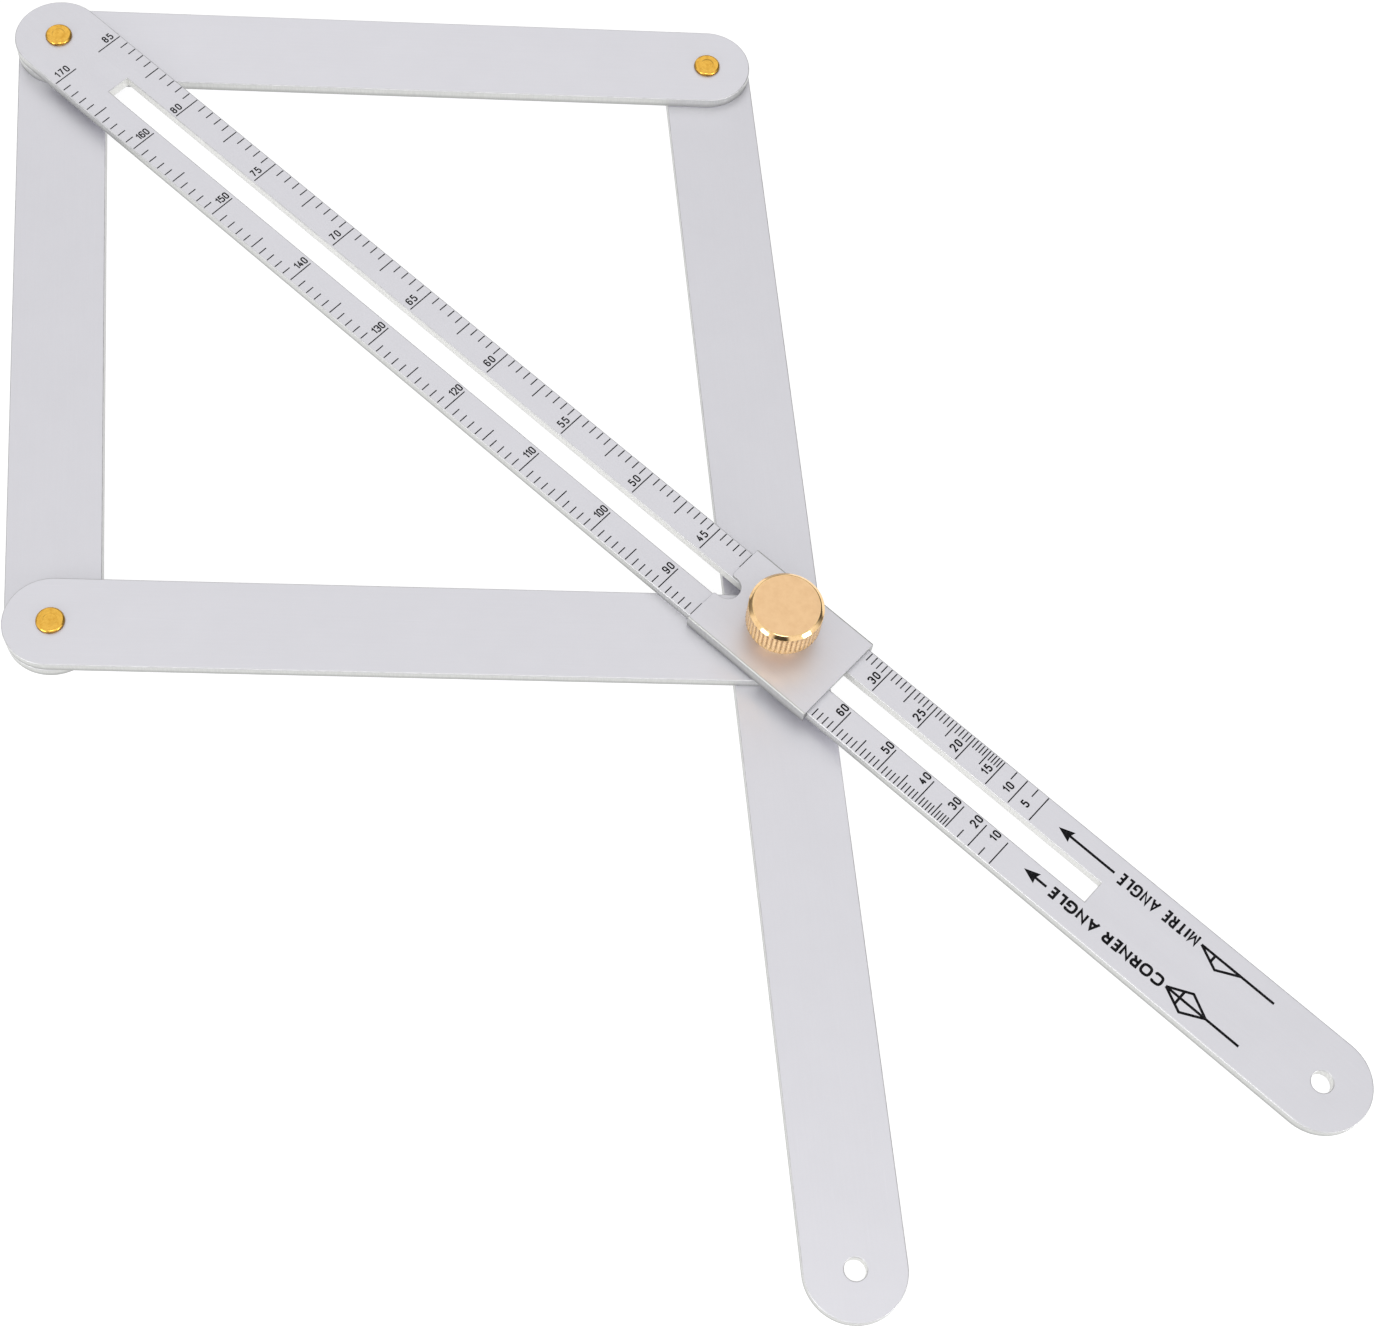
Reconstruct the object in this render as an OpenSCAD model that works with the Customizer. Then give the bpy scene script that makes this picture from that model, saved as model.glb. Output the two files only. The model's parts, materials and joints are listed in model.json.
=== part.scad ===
// Angle-bisecting sliding bevel.
// Four flat bars are pivoted into a rhombus. Its apex is riveted to a slotted scale, and its
// opposite corner carries a stud that runs in the slot, so the scale always halves the angle
// between the two apex arms. A slider reads the angle, and a clamp knob locks the linkage.
// Frame: the origin is the middle of the footprint on the surface that the tool lies on.
// +X runs along the scale from the apex to the hanging hole, and +Z is up.

/* [Linkage] */
// Distance between neighbouring pivots of the rhombus
pivot_spacing = 150; // [130:1:155]
// Angle between the scale and each arm at the apex, as the tool lies
half_angle = 42.5; // [10:0.5:80]
// Distance from the apex pivot to the scale's hanging hole
scale_reach = 360; // [350:5:420]
// Distance from the long arm's pivot to its hanging hole
long_arm_reach = 280; // [200:5:320]

/* [Bar stock] */
// Width of every bar, and the diameter of its round ends
bar_w = 20; // [16:0.5:24]
// Thickness of every bar
bar_t = 2.5; // [2:0.1:3]
// Free play between bars that lie on each other
layer_gap = 0.05; // [0.02:0.01:0.1]
// Diameter of the hanging holes
hang_d = 4.4; // [3:0.1:6]

/* [Slot] */
// Width of the slot in the scale
slot_w = 5.5; // [5.2:0.1:7]
// Room between the stud and the slot's apex end at the widest opening
slot_apex_room = 3.6; // [1:0.1:6]
// Room between the stud and the slot's tail end at the smallest opening
slot_tail_room = 2.4; // [1:0.1:6]

/* [Rivets] */
// Diameter of a rivet's shank
rivet_d = 3.2; // [2.5:0.1:4]
// Diameter of a rivet's upper head
rivet_head_d = 6; // [5:0.1:8]
// Height of a rivet's upper head
rivet_head_h = 0.8; // [0.5:0.1:1.5]
// Diameter of the countersunk foot, flush with the underside
rivet_foot_d = 5; // [4.2:0.1:6]

/* [Slider] */
// Length of the slider along the scale
slider_len = 31.9; // [26:0.1:40]
// Thickness of the slider's folded sheet
sheet_t = 1; // [0.6:0.1:1.5]
// Outer radius of the slider's two folds
fold_r = 0.4; // [0.2:0.1:0.9]
// How far the slider's lips reach down past the top of the scale
lip_drop = 2.2; // [1:0.1:2.4]
// Radius of the reading notch in the slider's apex edge
notch_r = 2.8; // [2:0.1:4]
// Depth of the reading notch
notch_depth = 4.1; // [3:0.1:6]
// Radius of the notch's two rounded mouth corners
notch_mouth_r = 0.6; // [0.2:0.1:1]

/* [Clamp] */
// Diameter of the stud
stud_d = 5; // [4:0.1:5]
// Diameter of the stud's countersunk head, flush with the underside
stud_head_d = 9; // [8:0.1:9.4]
// Diameter of the knob over its knurl
knob_d = 15.6; // [12:0.1:20]
// Height of the knob's knurled body
knob_h = 7; // [5:0.1:10]
// Diameter of the boss under the knurled body
boss_d = 9.6; // [8:0.1:11]
// Height of the boss
boss_h = 3.5; // [2:0.1:5]
// Width of the bevel round the knob's top
knob_bevel = 0.8; // [0.3:0.1:1.2]
// Number of straight knurl grooves
knurl_count = 46; // [24:1:60]
// Depth of a knurl groove
knurl_depth = 0.25; // [0.2:0.05:0.6]
// Diameter of the washer under the boss
washer_d = 10.4; // [9:0.1:12]
// Thickness of the washer
washer_t = 0.8; // [0.4:0.1:1.2]

/* [Graduations] */
// Distance from the slider's apex edge to the line that it reads
reading_gap = 0.3; // [0:0.05:1]
// Width of a graduation line
line_w = 0.25; // [0.1:0.05:0.4]
// Distance from the scale's edge to the start of each line
line_margin = 0.3; // [0.1:0.1:1]
// Length of the half-degree lines, on both edges
short_line = 2.1; // [1:0.1:3]
// Length of the 2.5 degree lines on the half-angle edge
half_mid_line = 4; // [2:0.1:5]
// Length of the 5 degree lines on the half-angle edge
half_long_line = 6.5; // [4:0.1:6.6]
// Length of the 5 degree lines on the included-angle edge
included_mid_line = 3.5; // [2:0.1:5]
// Length of the 10 degree lines on the included-angle edge
included_long_line = 6.1; // [4:0.1:6.6]

/* [Hidden] */
$fn = 96;

// Limits of the opening, and the clearances of the moving and the fixed fits
widest_half_angle = 85;
smallest_half_angle = 5;
running_gap = 0.05;
seat_gap = 0.01;
rest_gap = 0.02;

// Heights of the three layers of bars, from the surface up
layer_pitch = bar_t + layer_gap;
arm_z = layer_pitch;
scale_z = 2 * layer_pitch;
scale_top = scale_z + bar_t;

// Plan positions of the pivots
apex = [-scale_reach / 2, 0];
step_x = pivot_spacing * cos(half_angle);
step_y = pivot_spacing * sin(half_angle);
upper_pivot = apex + [step_x, step_y];
lower_pivot = apex + [step_x, -step_y];
clamp_pivot = apex + [2 * step_x, 0];

// Slot ends, measured from the apex
slot_start = 2 * pivot_spacing * cos(widest_half_angle) - stud_d / 2 - slot_apex_room;
slot_end = 2 * pivot_spacing * cos(smallest_half_angle) + stud_d / 2 + slot_tail_room;

// Slider channel: it clears the scale by slider_play on top and on both sides
slider_play = 0.1;
slider_inner_w = bar_w + 2 * slider_play;
slider_outer_w = slider_inner_w + 2 * sheet_t;
slider_under = scale_top + slider_play;
slider_top = slider_under + sheet_t;
lip_z = scale_top - lip_drop;

// Clamp stack, from the slider up
washer_z = slider_top + rest_gap;
boss_z = washer_z + washer_t + rest_gap;
knurl_z = boss_z + boss_h;
knob_top = knurl_z + knob_h;
knob_edge = 0.5;
knurl_lift = 0.7;
bore_end = knob_top - 1.6;
stud_top = bore_end - 0.8;
tip_chamfer = 0.6;
foot_recess = 0.05;

// Graduation lines: thickness of the print, and how the fine rows give way to the coarse one
line_t = 0.02;
fine_step = 0.5;
fine_end = 15;
coarse_step = 2.5;
coarse_start = fine_end - coarse_step;
coarse_pitch = 1.1;

aluminium = [0.84, 0.84, 0.86];
folded_aluminium = [0.80, 0.80, 0.83];
rivet_brass = [0.90, 0.67, 0.25];
knob_brass = [0.93, 0.77, 0.54];
steel = [0.62, 0.63, 0.65];
ink = [0.16, 0.16, 0.17];

// Distance from the apex to the line of half-angle h, which shows just clear of the slider's edge
// at that opening. The last few lines are evenly spaced, because the cosine bunches them.
function line_x(h) = h >= coarse_start
    ? 2 * pivot_spacing * cos(h) - slider_len / 2 - reading_gap
    : line_x(coarse_start) + (coarse_start - h) * coarse_pitch;

// Length of the line of half-angle h, given the short, middle and long lengths
function line_length(h, lengths) = h % 5 == 0 ? lengths[2] : h % 2.5 == 0 ? lengths[1] : lengths[0];

// Places children at a pivot, turned about it and raised to a layer
module at(pivot, turn = 0, z = 0) {
    translate([pivot.x, pivot.y, z]) rotate(turn) children();
}

// Flat bar with full-round ends, along +X from its first pivot
module bar(reach) {
    linear_extrude(bar_t) union() {
        circle(d = bar_w);
        translate([0, -bar_w / 2]) square([reach, bar_w]);
        translate([reach, 0]) circle(d = bar_w);
    }
}

// Through hole of radius r at x along a bar
module hole(x, r) {
    translate([x, 0, -1]) cylinder(r = r, h = bar_t + 2);
}

// Countersink in a bar's underside at x, for a 45 degree foot of radius foot_r on radius r
module countersink(x, foot_r, r, gap) {
    depth = foot_r - r;
    translate([x, 0, foot_recess - gap - 1])
        cylinder(r1 = foot_r + gap + 1, r2 = r + gap, h = depth + 1 + gap);
}

// Rivet: flush countersunk foot, shank up to head_z, low head with a bevelled rim
module rivet(head_z) {
    shank_r = rivet_d / 2;
    foot_r = rivet_foot_d / 2;
    head_r = rivet_head_d / 2;
    rim_h = rivet_head_h * 0.45;
    rim_in = 0.45;
    rotate_extrude() polygon([
        [0, foot_recess],
        [foot_r, foot_recess],
        [shank_r, foot_recess + foot_r - shank_r],
        [shank_r, head_z],
        [head_r, head_z],
        [head_r, head_z + rim_h],
        [head_r - rim_in, head_z + rivet_head_h],
        [0, head_z + rivet_head_h]
    ]);
}

module scale_ruler() {
    color(aluminium) at(apex, 0, scale_z) difference() {
        bar(scale_reach);
        hole(0, rivet_d / 2 + seat_gap);
        hole(scale_reach, hang_d / 2);
        translate([slot_start, -slot_w / 2, -1])
            cube([slot_end - slot_start, slot_w, bar_t + 2]);
    }
}

module top_arm() {
    color(aluminium) at(apex, half_angle, arm_z) difference() {
        bar(pivot_spacing);
        hole(0, rivet_d / 2 + running_gap);
        hole(pivot_spacing, rivet_d / 2 + running_gap);
    }
}

module left_arm() {
    color(aluminium) at(apex, -half_angle) difference() {
        bar(pivot_spacing);
        hole(0, rivet_d / 2 + running_gap);
        countersink(0, rivet_foot_d / 2, rivet_d / 2, running_gap);
        hole(pivot_spacing, rivet_d / 2 + seat_gap);
        countersink(pivot_spacing, rivet_foot_d / 2, rivet_d / 2, seat_gap);
    }
}

module bottom_arm() {
    color(aluminium) at(lower_pivot, half_angle, arm_z) difference() {
        bar(pivot_spacing);
        hole(0, rivet_d / 2 + running_gap);
        hole(pivot_spacing, stud_d / 2 + running_gap);
    }
}

module long_arm() {
    color(aluminium) at(upper_pivot, -half_angle) difference() {
        bar(long_arm_reach);
        hole(0, rivet_d / 2 + seat_gap);
        countersink(0, rivet_foot_d / 2, rivet_d / 2, seat_gap);
        hole(pivot_spacing, stud_d / 2 + seat_gap);
        countersink(pivot_spacing, stud_head_d / 2, stud_d / 2, seat_gap);
        hole(long_arm_reach, hang_d / 2);
    }
}

module apex_rivet() {
    color(rivet_brass) at(apex) rivet(scale_top + rest_gap);
}

module upper_rivet() {
    color(rivet_brass) at(upper_pivot) rivet(arm_z + bar_t + rest_gap);
}

module lower_rivet() {
    color(rivet_brass) at(lower_pivot) rivet(arm_z + bar_t + rest_gap);
}

// Cross-section of the slider's folded channel, with X across the scale and Y up
module channel_section() {
    half_w = slider_outer_w / 2;
    difference() {
        union() {
            translate([-half_w, lip_z]) square([slider_outer_w, slider_top - fold_r - lip_z]);
            translate([fold_r - half_w, lip_z])
                square([slider_outer_w - 2 * fold_r, slider_top - lip_z]);
            for (side = [-1, 1])
                translate([side * (half_w - fold_r), slider_top - fold_r]) circle(r = fold_r);
        }
        translate([-slider_inner_w / 2, lip_z - 1])
            square([slider_inner_w, slider_under - lip_z + 1]);
    }
}

// Plan of the reading notch, open towards -X from the slider's edge at X = 0
module notch_plan() {
    floor_x = notch_depth - notch_r;
    mouth_w = notch_r + notch_mouth_r;
    difference() {
        union() {
            translate([floor_x, 0]) circle(r = notch_r);
            translate([-1, -notch_r]) square([floor_x + 1, 2 * notch_r]);
            translate([-1, -mouth_w]) square([1 + notch_mouth_r, 2 * mouth_w]);
        }
        for (side = [-1, 1])
            translate([notch_mouth_r, side * mouth_w]) circle(r = notch_mouth_r);
    }
}

module slider() {
    color(folded_aluminium) at(clamp_pivot) difference() {
        rotate([90, 0, 90]) translate([0, 0, -slider_len / 2])
            linear_extrude(slider_len) channel_section();
        translate([-slider_len / 2, 0, slider_under - 1])
            linear_extrude(sheet_t + 2) notch_plan();
        translate([0, 0, slider_under - 1])
            cylinder(r = stud_d / 2 + running_gap, h = sheet_t + 2);
    }
}

module clamp_stud() {
    r = stud_d / 2;
    head_r = stud_head_d / 2;
    color(steel) at(clamp_pivot) rotate_extrude() polygon([
        [0, foot_recess],
        [head_r, foot_recess],
        [r, foot_recess + head_r - r],
        [r, stud_top - tip_chamfer],
        [r - tip_chamfer, stud_top],
        [0, stud_top]
    ]);
}

module knob_washer() {
    color(knob_brass) at(clamp_pivot, 0, washer_z) difference() {
        cylinder(d = washer_d, h = washer_t);
        translate([0, 0, -1]) cylinder(r = stud_d / 2 + running_gap, h = washer_t + 2);
    }
}

// One straight V groove of the knurl, cut into the knob's side at angle 0
module knurl_groove() {
    side = knurl_depth * sqrt(2);
    translate([knob_d / 2, 0, knurl_z + knurl_lift]) rotate(45)
        translate([-side / 2, -side / 2, 0]) cube([side, side, knob_h]);
}

module clamp_knob() {
    r = knob_d / 2;
    bore_r = stud_d / 2 + running_gap;
    color(knob_brass) at(clamp_pivot) difference() {
        rotate_extrude() polygon([
            [bore_r, boss_z],
            [boss_d / 2, boss_z],
            [boss_d / 2, knurl_z],
            [r - knob_edge, knurl_z],
            [r, knurl_z + knob_edge],
            [r, knob_top - knob_bevel],
            [r - knob_bevel, knob_top],
            [0, knob_top],
            [0, bore_end],
            [bore_r, bore_end]
        ]);
        for (i = [0 : knurl_count - 1]) rotate(i * 360 / knurl_count) knurl_groove();
    }
}

// Every graduation line along one edge of the scale; side is 1 for +Y and -1 for -Y
module graduation(side, lengths) {
    angles = concat([for (h = [widest_half_angle : -fine_step : fine_end]) h],
                    [for (h = [coarse_start : -coarse_step : smallest_half_angle]) h]);
    for (h = angles) {
        length = h < fine_end && h % 5 != 0 ? lengths[0] : line_length(h, lengths);
        start = side * (bar_w / 2 - line_margin);
        translate([line_x(h) - line_w / 2, min(start, start - side * length), 0])
            cube([line_w, length, line_t]);
    }
}

module half_angle_scale() {
    color(ink) at(apex, 0, scale_top)
        graduation(1, [short_line, half_mid_line, half_long_line]);
}

module included_angle_scale() {
    color(ink) at(apex, 0, scale_top)
        graduation(-1, [short_line, included_mid_line, included_long_line]);
}

scale_ruler();
top_arm();
left_arm();
bottom_arm();
long_arm();
apex_rivet();
upper_rivet();
lower_rivet();
slider();
clamp_stud();
knob_washer();
clamp_knob();
half_angle_scale();
included_angle_scale();
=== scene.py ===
import json
import math

import bmesh
import bpy
from mathutils import Matrix, Vector
from mathutils.geometry import tessellate_polygon


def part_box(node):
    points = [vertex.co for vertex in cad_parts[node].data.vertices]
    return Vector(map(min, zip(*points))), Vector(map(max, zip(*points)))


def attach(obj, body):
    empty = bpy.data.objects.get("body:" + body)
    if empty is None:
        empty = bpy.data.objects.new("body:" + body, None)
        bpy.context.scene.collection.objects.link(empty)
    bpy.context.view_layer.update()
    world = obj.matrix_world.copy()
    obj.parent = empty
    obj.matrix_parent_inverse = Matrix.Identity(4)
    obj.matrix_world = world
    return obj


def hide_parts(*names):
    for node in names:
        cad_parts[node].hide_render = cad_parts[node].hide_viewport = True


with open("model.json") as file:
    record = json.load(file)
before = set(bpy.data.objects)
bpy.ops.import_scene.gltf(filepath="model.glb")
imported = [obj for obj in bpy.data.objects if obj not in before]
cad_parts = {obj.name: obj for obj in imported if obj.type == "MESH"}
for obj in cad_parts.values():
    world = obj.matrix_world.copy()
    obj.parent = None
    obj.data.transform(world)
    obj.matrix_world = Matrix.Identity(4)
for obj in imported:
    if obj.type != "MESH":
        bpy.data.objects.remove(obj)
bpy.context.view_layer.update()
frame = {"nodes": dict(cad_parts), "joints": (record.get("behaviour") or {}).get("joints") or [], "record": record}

# Angle finder: a slotted scale and four arms, riveted into a rhombus. The rhombus's fourth pivot is
# a stud that runs in the slot. A folded slider on the stud reads the angle, and a knob clamps it.

MM = 0.001
TAU = 2 * math.pi

# ---------------------------------------------------------------- measures taken from the frame


def joint(name):
    return next(j for j in frame["joints"] if j["name"] == name)


def mount(name):
    return next(m for m in frame["record"]["mounts"] if m["name"] == name)


def pivot(name):
    """Where a joint's axis meets the floor."""
    return Vector(joint(name)["pos_m"])


def heights(node):
    """Lowest and highest z of a CAD node."""
    low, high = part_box(node)
    return low.z, high.z


def width_of(node, axis=0):
    low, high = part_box(node)
    return (high - low)[axis]


APEX = pivot("arm_opening")
UPPER = pivot("long_arm_swing")
LOWER = pivot("bottom_arm_swing")
CLAMP = pivot("slider_swing")
PIVOT_SPACING = (UPPER - APEX).length
HALF_ANGLE = math.atan2(UPPER.y - APEX.y, UPPER.x - APEX.x)
NARROWEST, WIDEST = (HALF_ANGLE + math.radians(a) for a in joint("arm_opening")["range_deg"])
SCALE_REACH = mount("scale_hanging_hole")["pos_m"][0] - APEX.x
LONG_REACH = (Vector(mount("arm_hanging_hole")["pos_m"]).xy - UPPER.xy).length
HANG_R = mount("scale_hanging_hole")["dims"]["r_mm"] * MM
BAR_R = width_of("scale_ruler", 1) / 2
SCALE_TOP = heights("scale_ruler")[1]
INK_T = heights("half_angle_scale")[1] - SCALE_TOP
SLIDER_LEN = width_of("slider")
KNOB_R = width_of("clamp_knob") / 2
KNOB_LOW, KNOB_TOP = heights("clamp_knob")

# ---------------------------------------------------------------- sizes that the boxes don't give

RIVET_SHANK_R = 1.6 * MM
RIVET_FOOT_R = 2.5 * MM
STUD_R = 2.5 * MM
STUD_HEAD_R = 4.5 * MM
THREAD_PITCH = 0.8 * MM
FOOT_RECESS = 0.05 * MM
RUNNING_GAP = 0.05 * MM
SEAT_GAP = 0.01 * MM

# The slot's ends leave room beyond the stud at both limits of the opening
SLOT_HALF_W = 2.75 * MM
SLOT_START = 2 * PIVOT_SPACING * math.cos(WIDEST) - STUD_R - 3.6 * MM
SLOT_END = 2 * PIVOT_SPACING * math.cos(NARROWEST) + STUD_R + 2.4 * MM

SHEET_T = 1.0 * MM
FOLD_R = 0.4 * MM
NOTCH_R = 2.8 * MM
NOTCH_DEPTH = 4.1 * MM
NOTCH_MOUTH_R = 0.6 * MM

BOSS_R = 4.8 * MM
FLANGE_Z = KNOB_LOW + 3.5 * MM
FLANGE_CHAMFER = 0.5 * MM
KNOB_BEVEL = 0.8 * MM
WALL_TOP = KNOB_TOP - KNOB_BEVEL
TEETH = 46
GROOVE_DEPTH = 0.25 * MM
GROOVE_HALF_W = 0.38 * MM
KNURL_START = FLANGE_Z + FLANGE_CHAMFER + 0.2 * MM
KNURL_FADE = 0.25 * MM

# From the slider's apex edge to the line that it reads
READING_GAP = 0.3 * MM
# Below this half angle the lines stand a fixed pitch apart, one to a degree
COARSE_START_DEG, COARSE_PITCH = 12.5, 1.1 * MM

BAR_EDGE = 0.22 * MM
EDGE_STEPS = 4
ROUND_STEPS = 40

# ---------------------------------------------------------------- node helpers


def new_material(name, colour, metallic, roughness):
    """A Principled material, its node tree and its shader node."""
    material = bpy.data.materials.new(name)
    material.use_nodes = True
    material.diffuse_color = (*colour, 1)
    tree = material.node_tree
    shader = tree.nodes["Principled BSDF"]
    shader.inputs["Base Color"].default_value = (*colour, 1)
    shader.inputs["Metallic"].default_value = metallic
    shader.inputs["Roughness"].default_value = roughness
    return material, tree, shader


def place_coords(tree, stretch=(1, 1, 1)):
    """Object coordinates, scaled by stretch."""
    coords = tree.nodes.new("ShaderNodeTexCoord")
    mapping = tree.nodes.new("ShaderNodeMapping")
    mapping.inputs["Scale"].default_value = stretch
    tree.links.new(coords.outputs["Object"], mapping.inputs["Vector"])
    return mapping.outputs["Vector"]


def height_of(tree, vector):
    """The Z part of a vector."""
    split = tree.nodes.new("ShaderNodeSeparateXYZ")
    tree.links.new(vector, split.inputs["Vector"])
    return split.outputs["Z"]


def axis_distance(tree):
    """Distance from the object's upright axis."""
    reach = tree.nodes.new("ShaderNodeVectorMath")
    reach.operation = "LENGTH"
    tree.links.new(place_coords(tree, (1, 1, 0)), reach.inputs[0])
    return reach.outputs["Value"]


def noise(tree, size, detail=2.0, rough=0.5, stretch=(1, 1, 1)):
    """Noise whose features are about size metres across."""
    node = tree.nodes.new("ShaderNodeTexNoise")
    node.inputs["Scale"].default_value = 1 / size
    node.inputs["Detail"].default_value = detail
    node.inputs["Roughness"].default_value = rough
    tree.links.new(place_coords(tree, stretch), node.inputs["Vector"])
    return node.outputs["Fac"]


def spots(tree, spacing, radius):
    """1 in small round spots about spacing metres apart, 0 between them."""
    node = tree.nodes.new("ShaderNodeTexVoronoi")
    node.inputs["Scale"].default_value = 1 / spacing
    tree.links.new(place_coords(tree), node.inputs["Vector"])
    return remap(tree, node.outputs["Distance"], (radius / spacing, 0), (0, 1))


def turning_rings(tree, spacing):
    """Waves round the object's upright axis, as a lathe tool leaves them."""
    node = tree.nodes.new("ShaderNodeTexWave")
    node.wave_type = "RINGS"
    node.rings_direction = "Z"
    node.inputs["Scale"].default_value = 1 / spacing
    node.inputs["Distortion"].default_value = 0.4
    tree.links.new(place_coords(tree), node.inputs["Vector"])
    return node.outputs["Fac"]


def remap(tree, value, source, target):
    """Maps the range source of a value to the range target, clamped."""
    node = tree.nodes.new("ShaderNodeMapRange")
    node.inputs["From Min"].default_value, node.inputs["From Max"].default_value = source
    node.inputs["To Min"].default_value, node.inputs["To Max"].default_value = target
    tree.links.new(value, node.inputs["Value"])
    return node.outputs["Result"]


def math_node(tree, operation, a, b):
    """Joins two values, each a number or a socket."""
    node = tree.nodes.new("ShaderNodeMath")
    node.operation = operation
    for socket, value in zip(node.inputs, (a, b)):
        if isinstance(value, (int, float)):
            socket.default_value = value
        else:
            tree.links.new(value, socket)
    return node.outputs["Value"]


def mix_colours(tree, factor, first, second):
    """Blends from first to second; each is an RGB tuple or a socket."""
    node = tree.nodes.new("ShaderNodeMix")
    node.data_type = "RGBA"
    tree.links.new(factor, node.inputs["Factor"])
    for socket, value in ((node.inputs[6], first), (node.inputs[7], second)):
        if isinstance(value, tuple):
            socket.default_value = (*value, 1)
        else:
            tree.links.new(value, socket)
    return node.outputs[2]


def paint(tree, shader, value, source, first, second):
    """Colours a material from first to second as the value crosses the range source."""
    colour = mix_colours(tree, remap(tree, value, source, (0, 1)), first, second)
    tree.links.new(colour, shader.inputs["Base Color"])


def vary_roughness(tree, shader, value, first, second):
    """Takes the roughness from first to second across the usual range of a noise."""
    tree.links.new(remap(tree, value, (0.3, 0.7), (first, second)), shader.inputs["Roughness"])


def add_bump(tree, shader, height, depth):
    """Adds a bump of depth metres on top of any bump that the shader has."""
    node = tree.nodes.new("ShaderNodeBump")
    node.inputs["Strength"].default_value = 1
    node.inputs["Distance"].default_value = depth
    tree.links.new(height, node.inputs["Height"])
    normal = shader.inputs["Normal"]
    if normal.is_linked:
        tree.links.new(normal.links[0].from_socket, node.inputs["Normal"])
    tree.links.new(node.outputs["Normal"], normal)


# ---------------------------------------------------------------- materials


def satin_aluminium(name, tone):
    """Anodised bar: fine matt grain, faint lengthwise streaks, clouding, hairlines and dents."""
    light = tuple(c * tone for c in (0.755, 0.750, 0.790))
    dark = tuple(c * 0.97 for c in light)
    bright = tuple(min(1.0, c * 1.12) for c in light)
    material, tree, shader = new_material(name, light, 0.8, 0.45)
    cloud = noise(tree, 9 * MM, 4, 0.6)
    streak = noise(tree, 0.5 * MM, 3, 0.6, (0.03, 1, 1))
    shade = math_node(tree, "ADD", math_node(tree, "MULTIPLY", cloud, 0.6),
                      math_node(tree, "MULTIPLY", streak, 0.4))
    colour = mix_colours(tree, remap(tree, shade, (0.3, 0.7), (0, 1)), dark, light)
    hairline = remap(tree, noise(tree, 0.8 * MM, 1, 0.4, (0.08, 1.4, 1)), (0.72, 0.78), (0, 0.12))
    tree.links.new(mix_colours(tree, hairline, colour, bright), shader.inputs["Base Color"])
    grain = noise(tree, 0.22 * MM, 2, 0.6)
    vary_roughness(tree, shader, grain, 0.40, 0.52)
    add_bump(tree, shader, grain, 0.006 * MM)
    add_bump(tree, shader, streak, 0.004 * MM)
    add_bump(tree, shader, spots(tree, 34 * MM, 0.7 * MM), -0.03 * MM)
    return material


def edge_aluminium():
    """The rounded edges of the bars, painted a little darker than their faces as painted shade that dims the
    highlight lines along them.
    """
    light, dark = (0.68, 0.68, 0.69), (0.61, 0.61, 0.62)
    material, tree, shader = new_material("painted_shade_aluminium_edge", light, 1.0, 0.45)
    wear = noise(tree, 1.6 * MM, 3, 0.6)
    paint(tree, shader, wear, (0.4, 0.6), dark, light)
    vary_roughness(tree, shader, wear, 0.42, 0.55)
    return material


def milled_aluminium_shaded_below(name, low, high, tone=1.0):
    """Milled side walls between heights low and high: fine upright tool marks, and painted shade that darkens them
    towards the bottom.
    """
    light = tuple(c * tone for c in (0.64, 0.645, 0.63))
    dark = tuple(c * 0.92 for c in light)
    # Painted shade: below lit_from the walls darken towards the foot colour, standing in for the floor's contact
    # shadow.
    foot = tuple(c * 0.55 for c in dark)
    lit_from = low + (high - low) * 0.55
    material, tree, shader = new_material(name, light, 1.0, 0.5)
    marks = noise(tree, 0.25 * MM, 2, 0.5, (1, 1, 0.1))
    metal = mix_colours(tree, remap(tree, marks, (0.35, 0.65), (0, 1)), dark, light)
    paint(tree, shader, height_of(tree, place_coords(tree)), (low, lit_from), foot, metal)
    add_bump(tree, shader, marks, 0.003 * MM)
    return material


def cut_aluminium():
    """Walls of the slot and of the holes: bright and clean."""
    light, dark = (0.78, 0.78, 0.76), (0.72, 0.72, 0.70)
    material, tree, shader = new_material("cut_aluminium", light, 0.5, 0.5)
    paint(tree, shader, noise(tree, 0.25 * MM, 2, 0.5, (1, 1, 0.1)), (0.35, 0.65), dark, light)
    return material


def shaded_rim_aluminium():
    """Cut rim of the slider's sheet, duller than its faces and painted darker as painted shade where the rim lies
    in shadow.
    """
    light, dark = (0.48, 0.48, 0.48), (0.37, 0.37, 0.37)
    material, tree, shader = new_material("painted_shade_aluminium_rim", light, 1.0, 0.45)
    paint(tree, shader, noise(tree, 0.3 * MM, 2, 0.5), (0.35, 0.65), dark, light)
    return material


def peened_brass(name, light, dark, roughness):
    """Rivet heads: closed by a punch, with small dents."""
    material, tree, shader = new_material(name, light, 1.0, roughness)
    blotch = noise(tree, 0.9 * MM, 3, 0.6)
    paint(tree, shader, blotch, (0.35, 0.55), dark, light)
    vary_roughness(tree, shader, blotch, roughness + 0.08, roughness - 0.06)
    add_bump(tree, shader, noise(tree, 0.8 * MM, 1, 0.4), 0.05 * MM)
    return material


def satin_brass():
    """The knob's top: lightly turned, then satin, with faint fingerprints."""
    light, dark = (0.965, 0.65, 0.36), (0.91, 0.60, 0.325)
    material, tree, shader = new_material("satin_brass", light, 1.0, 0.36)
    blotch = noise(tree, 1.8 * MM, 4, 0.62)
    paint(tree, shader, blotch, (0.35, 0.65), dark, light)
    vary_roughness(tree, shader, blotch, 0.42, 0.32)
    add_bump(tree, shader, turning_rings(tree, 1.2 * MM), 0.0015 * MM)
    add_bump(tree, shader, noise(tree, 0.2 * MM, 2, 0.6), 0.003 * MM)
    return material


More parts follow.
